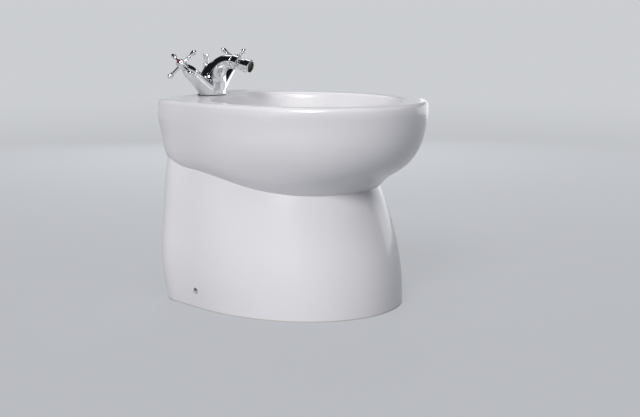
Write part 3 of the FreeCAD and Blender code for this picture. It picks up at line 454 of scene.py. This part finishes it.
# The mixer's cast body: spout and valve arms run into each other with soft blends
def mixerCasting():
    merged = mergedMesh("tap_body", casting["weld"])
    shell = bpy.data.objects.new("mixer_work", merged)
    bpy.context.scene.collection.objects.link(shell)
    remesh = shell.modifiers.new("cast", "REMESH")
    remesh.mode = "VOXEL"
    remesh.voxel_size = casting["voxel"]
    remesh.use_smooth_shade = True
    mesh = plainMesh(shell)
    bpy.data.objects.remove(shell)
    points = rowsOf(mesh.vertices, "co", 3)
    edges = rowsOf(mesh.edges, "vertices", 2, np.int64)
    normals = rowsOf(mesh.vertex_normals, "vector", 3)
    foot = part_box("tap_body")[0].z
    low, high = foot + casting["footMargin"], foot + casting["blendTop"]
    blended = ((points[:, 2] > low) & (points[:, 2] < high)).astype(float)
    points = smoothPoints(points, edges, casting["blendShare"], casting["blendRounds"], blended, normals)
    everywhere = np.ones(len(points))
    everywhere[points[:, 2] < low] = 0.0
    points = smoothPoints(points, edges, casting["polishShare"], casting["polishRounds"], everywhere)
    mesh.vertices.foreach_set("co", points.ravel())
    mesh.update()
    piece = show("mixer_casting", mesh, finishes["chrome"], "china")
    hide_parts("tap_body")
    print("mixer casting:", len(mesh.polygons), "faces")


# A modifier's tree that ends in one mesh with its material
class Rule:
    def __init__(self, name, sizes):
        self.tree = bpy.data.node_groups.new(name, "GeometryNodeTree")
        self.sheet = Sheet(self.tree)
        self.sizes = sizes
        kinds = {int: "NodeSocketInt", float: "NodeSocketFloat", Vector: "NodeSocketVector"}
        for key, value in sizes.items():
            self.tree.interface.new_socket(key, in_out="INPUT", socket_type=kinds[type(value)])
        self.tree.interface.new_socket("Finish", in_out="INPUT", socket_type="NodeSocketMaterial")
        self.tree.interface.new_socket("Geometry", in_out="OUTPUT", socket_type="NodeSocketGeometry")
        self.entry = self.tree.nodes.new("NodeGroupInput")

    def size(self, key):
        return Wire(self.sheet, self.entry.outputs[key])

    def node(self, kind, settings=None, sockets=None, output=0):
        return self.sheet.node(kind, settings, sockets, output)

    # Runs the rule once and gives the plain mesh that it makes
    def mesh(self, shape, material):
        real = self.node("GeometryNodeRealizeInstances", {}, {0: shape})
        finished = self.node("GeometryNodeSetMaterial", {}, {0: real, "Material": self.size("Finish")})
        leave = self.tree.nodes.new("NodeGroupOutput")
        self.tree.links.new(finished.socket, leave.inputs[0])
        holder = bpy.data.objects.new(self.tree.name, bpy.data.meshes.new(self.tree.name))
        bpy.context.scene.collection.objects.link(holder)
        rule = holder.modifiers.new("rule", "NODES")
        rule.node_group = self.tree
        values = dict(self.sizes, Finish=material)
        for item in self.tree.interface.items_tree:
            if item.in_out == "INPUT":
                rule[item.identifier] = values[item.name]
        made = plainMesh(holder)
        holder.modifiers.remove(rule)
        bpy.data.objects.remove(holder)
        work = bmesh.new()
        work.from_mesh(made)
        bmesh.ops.recalc_face_normals(work, faces=work.faces)
        work.to_mesh(made)
        work.free()
        made.shade_smooth()
        return made


# A thread starts a margin above its rod's lower end and goes up to a share of the rod's length
threads = {
    "stud_thread": {"on": "tap_fixing_stud", "slot": "steel", "body": "china", "pitch": 1.25 * mm,
                    "margin": 1.0 * mm, "upTo": 0.50, "steps": 20},
    "drain_thread": {"on": "waste_flange", "slot": "chrome", "body": "china", "pitch": 2.0 * mm,
                     "margin": 2.0 * mm, "upTo": 0.30, "steps": 56},
}
threadRidge = {"share": 0.36, "sides": 6}     # its radius as a share of the pitch


# A cut thread, as one ridge that winds up the rod
def cutThread(name, plan):
    low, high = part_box(plan["on"])
    bottom = low.z + plan["margin"]
    top = low.z + plan["upTo"] * (high.z - low.z)
    points = rowsOf(cadNodes[plan["on"]].data.vertices, "co", 3)
    middle = Vector(((low.x + high.x) / 2, (low.y + high.y) / 2, bottom))
    level = points[points[:, 2] < top]
    radius = float(np.hypot(level[:, 0] - middle.x, level[:, 1] - middle.y).max())
    turns = (top - bottom) / plan["pitch"]
    rule = Rule(name, {"Radius": radius, "Turns": turns, "Rise": top - bottom, "Steps": plan["steps"],
                       "Ridge": plan["pitch"] * threadRidge["share"], "Place": middle})
    winding = rule.node("GeometryNodeCurveSpiral", {},
                        {"Resolution": rule.size("Steps"), "Rotations": rule.size("Turns"),
                         "Start Radius": rule.size("Radius"), "End Radius": rule.size("Radius"),
                         "Height": rule.size("Rise")})
    section = rule.node("GeometryNodeCurvePrimitiveCircle", {},
                        {"Resolution": threadRidge["sides"], "Radius": rule.size("Ridge")})
    ridge = rule.node("GeometryNodeCurveToMesh", {},
                      {"Curve": winding, "Profile Curve": section, "Fill Caps": True})
    placed = rule.node("GeometryNodeTransform", {}, {0: ridge, "Translation": rule.size("Place")})
    material = finishes[plan["slot"]]
    show(name, rule.mesh(placed, material), material, plan["body"])
    print(name, "turns:", round(turns, 1))


# How far a node reaches along a direction from a start point
def reachAlong(node, start, direction):
    points = rowsOf(cadNodes[node].data.vertices, "co", 3)
    return float(((points - np.array(start)) @ np.array(direction)).max())


indexMark = {
    "radius": 2.7 * mm,
    "lift": 0.35 * mm,      # how far the enamel stands proud of the cap
    "sink": 0.5 * mm,       # how far it goes in
    "rings": 5,
    "steps": 40,
}


def sideName(side):
    return "hot" if side < 0 else "cold"


# A drop of coloured enamel in the middle of a cap
def enamelDrop(side):
    tap = sideName(side)
    joint = joints[tap + "_valve"]
    start = Vector(joint["pos_m"])
    outward = Vector(joint["axis"])
    if outward.x * side < 0:
        outward = -outward
    reach = reachAlong(tap + "_index_cap", start, outward)
    centre = start + outward * (reach - indexMark["sink"])
    turn = outward.to_track_quat("Z", "X").to_matrix().to_4x4()
    work = bmesh.new()
    rows = []
    for ring in range(indexMark["rings"] + 1):
        share = ring / indexMark["rings"]
        radius = indexMark["radius"] * math.sin(share * math.pi / 2)
        height = indexMark["sink"] + indexMark["lift"] * math.cos(share * math.pi / 2)
        rows.append((radius, height))
    rows.append((indexMark["radius"], 0.0))
    loops = []
    for radius, height in rows[1:]:
        loop = []
        for step in range(indexMark["steps"]):
            angle = 2 * math.pi * step / indexMark["steps"]
            loop.append(work.verts.new((radius * math.cos(angle), radius * math.sin(angle), height)))
        loops.append(loop)
    top = work.verts.new((0, 0, rows[0][1]))
    bottom = work.verts.new((0, 0, 0))
    for step in range(indexMark["steps"]):
        after = (step + 1) % indexMark["steps"]
        work.faces.new((top, loops[0][step], loops[0][after]))
        work.faces.new((bottom, loops[-1][after], loops[-1][step]))
        for inner, outer in zip(loops, loops[1:]):
            work.faces.new((inner[step], outer[step], outer[after], inner[after]))
    bmesh.ops.recalc_face_normals(work, faces=work.faces)
    mesh = bpy.data.meshes.new(tap + "_index_mark")
    work.to_mesh(mesh)
    work.free()
    mesh.transform(Matrix.Translation(centre) @ turn)
    mesh.shade_smooth()
    show(tap + "_index_mark", mesh, enamelFor(tap), tap + "_handle")
    print(tap, "index mark:", len(mesh.polygons), "faces")


stage = {
    "floor": (0.330, 0.345, 0.375),
    "floorRadius": 30.0,
    "floorSides": 96,
    "haze": (0.600, 0.615, 0.640),        # what the eye and the metal see of floor and backdrop
    "hazeNear": 0.66,                     # its share at the object's foot
    "hazeSpan": (0.5, 5.0),               # it thickens between these distances, in m
    "hazeRise": (0.0, 0.4),
    "sky": (0.660, 0.680, 0.715),
    "zenith": (0.010, 0.011, 0.014),
    "darkSpan": (0.02, 0.34),             # the mirrored sky darkens between these heights
    "fill": 0.155,
    "fillTint": (0.91, 0.96, 1.12),
}


def paleFloor():
    bpy.ops.mesh.primitive_circle_add(vertices=stage["floorSides"], radius=stage["floorRadius"],
                                      fill_type="TRIFAN")
    floor = bpy.context.active_object
    floor.name = "floor"
    finish = Finish("pale_floor", Base_Color=stage["floor"], Roughness=0.75, IOR=1.4)
    place = finish.objectPlace()
    away = finish.node("ShaderNodeVectorMath", {"operation": "LENGTH"}, {0: place}, output="Value")
    seen = finish.node("ShaderNodeLightPath", output="Is Camera Ray")
    mirrored = finish.node("ShaderNodeLightPath", output="Is Glossy Ray")
    through = finish.node("ShaderNodeLightPath", output="Is Transmission Ray")
    shown = finish.node("ShaderNodeClamp", {}, {0: seen + mirrored + through})
    near = stage["hazeNear"]
    far = (near + (1 - near) * finish.step(away, *stage["hazeSpan"])) * shown
    glow = finish.node("ShaderNodeEmission", {}, {"Color": stage["haze"], "Strength": 1.0})
    matte = Wire(finish, finish.shader.outputs[0])
    mixed = finish.node("ShaderNodeMixShader", {}, {0: far, 1: matte, 2: glow})
    finish.feed(finish.tree.nodes["Material Output"].inputs["Surface"], mixed)
    floor.data.materials.append(finish.material)


# Pale all round at eye level and dark overhead, so that the metal has something to mirror
def studioWorld():
    world = bpy.data.worlds.new("studio")
    world.use_nodes = True
    bpy.context.scene.world = world
    sheet = Sheet(world.node_tree)
    way = sheet.node("ShaderNodeTexCoord", output="Generated")
    height = sheet.node("ShaderNodeSeparateXYZ", {}, {0: way}, output="Z")
    dark = sheet.step(height, *stage["darkSpan"])
    mirrored = sheet.mixColour(dark, stage["sky"], stage["zenith"])
    fillColour = tuple(stage["fill"] * part for part in stage["fillTint"])
    seen = sheet.node("ShaderNodeLightPath", output="Is Camera Ray")
    glossy = sheet.node("ShaderNodeLightPath", output="Is Glossy Ray")
    unlit = sheet.mixColour(glossy, fillColour, mirrored)
    haze = sheet.mixColour(sheet.step(height, *stage["hazeRise"]), stage["haze"], stage["sky"])
    colour = sheet.mixColour(seen, unlit, haze)
    sheet.feed(world.node_tree.nodes["Background"].inputs["Color"], colour)


# A lamp whose reach is "shade" isn't mirrored, and one whose reach is "shine" is only mirrored.
# Azimuth and elevation are degrees, as seen from the object, and beam is the cone of a narrow lamp
lamps = {
    "keySun": {"kind": "SUN", "azimuth": 189.0, "elevation": 38.0, "away": 3.0, "power": 1.86,
               "spread": 22.0, "colour": (1.0, 0.985, 0.985)},
    "sheenBox": {"kind": "AREA", "azimuth": 187.0, "elevation": 4.0, "away": 2.6, "power": 7.5,
                 "width": 1.6, "height": 1.0, "reach": "shade"},
    "topBox": {"kind": "AREA", "azimuth": 205.0, "elevation": 74.0, "away": 2.0, "power": 6.5,
               "width": 1.0, "height": 0.8},
    "sideBox": {"kind": "AREA", "azimuth": 250.0, "elevation": 42.0, "away": 2.2, "power": 1.6,
                "width": 0.25, "height": 0.9},
    "backBox": {"kind": "AREA", "azimuth": 36.0, "elevation": 50.0, "away": 2.6, "power": 8.5,
                "width": 1.5, "height": 1.3},
    "farBox": {"kind": "AREA", "azimuth": 33.0, "elevation": 12.0, "away": 2.6, "power": 28.0,
               "width": 1.6, "height": 1.0, "reach": "shade"},
    "edgeCard": {"kind": "AREA", "azimuth": 352.0, "elevation": 4.0, "away": 2.6, "power": 6.5,
                 "width": 2.6, "height": 0.8, "reach": "shine"},
    "glint": {"kind": "AREA", "azimuth": 202.0, "elevation": 5.5, "away": 1.2, "power": 0.0026,
              "width": 0.024, "height": 0.022, "beam": 6.0, "aim": (0.139, 0.088, 0.379)},
}


def placeLamp(name, plan):
    azimuth, elevation = math.radians(plan["azimuth"]), math.radians(plan["elevation"])
    towards = Vector((math.cos(azimuth) * math.cos(elevation), math.sin(azimuth) * math.cos(elevation),
                      math.sin(elevation)))
    light = bpy.data.lights.new(name, plan["kind"])
    light.energy = plan["power"]
    light.color = plan.get("colour", (1.0, 1.0, 1.0))
    if plan["kind"] == "SUN":
        light.angle = math.radians(plan["spread"])
    else:
        light.shape = "RECTANGLE"
        light.size = plan["width"]
        light.size_y = plan["height"]
        light.spread = math.radians(plan.get("beam", 180.0))
    lamp = bpy.data.objects.new(name, light)
    aim = plan.get("aim", (0, 0, (cadBox[0].z + cadBox[1].z) / 2))
    lamp.location = Vector(aim) + towards * plan["away"]
    lamp.rotation_euler = towards.to_track_quat("Z", "Y").to_euler()
    lamp.visible_camera = False
    lamp.visible_diffuse = plan.get("reach") != "shine"
    lamp.visible_glossy = plan.get("reach") != "shade"
    bpy.context.scene.collection.objects.link(lamp)


photoView = {
    "place": (-2.139, -1.180, 0.604),
    "heading": 28.0,          # degrees from +X, seen from above
    "dip": 9.8,               # degrees below the level
    "focalPixels": 1250.0,
    "framePixels": 640.0,
    "sensor": 36.0,
}


def placeCamera():
    lens = bpy.data.cameras.new("photo_view")
    lens.sensor_width = photoView["sensor"]
    lens.sensor_fit = "HORIZONTAL"
    lens.lens = photoView["sensor"] * photoView["focalPixels"] / photoView["framePixels"]
    camera = bpy.data.objects.new("photo_view", lens)
    camera.location = photoView["place"]
    turns = (90 - photoView["dip"], 0, photoView["heading"] - 90)
    camera.rotation_euler = [math.radians(turn) for turn in turns]
    bpy.context.scene.collection.objects.link(camera)
    bpy.context.scene.camera = camera


placeCamera()
dressNodes()
mixerCasting()
for threadName, threadPlan in threads.items():
    cutThread(threadName, threadPlan)
for side in (-1, 1):
    enamelDrop(side)
paleFloor()
studioWorld()
for lampName, lampPlan in lamps.items():
    placeLamp(lampName, lampPlan)
print("stage:", len(lamps), "lamps, a floor and a sky")
bpy.context.scene.view_settings.view_transform = "Standard"
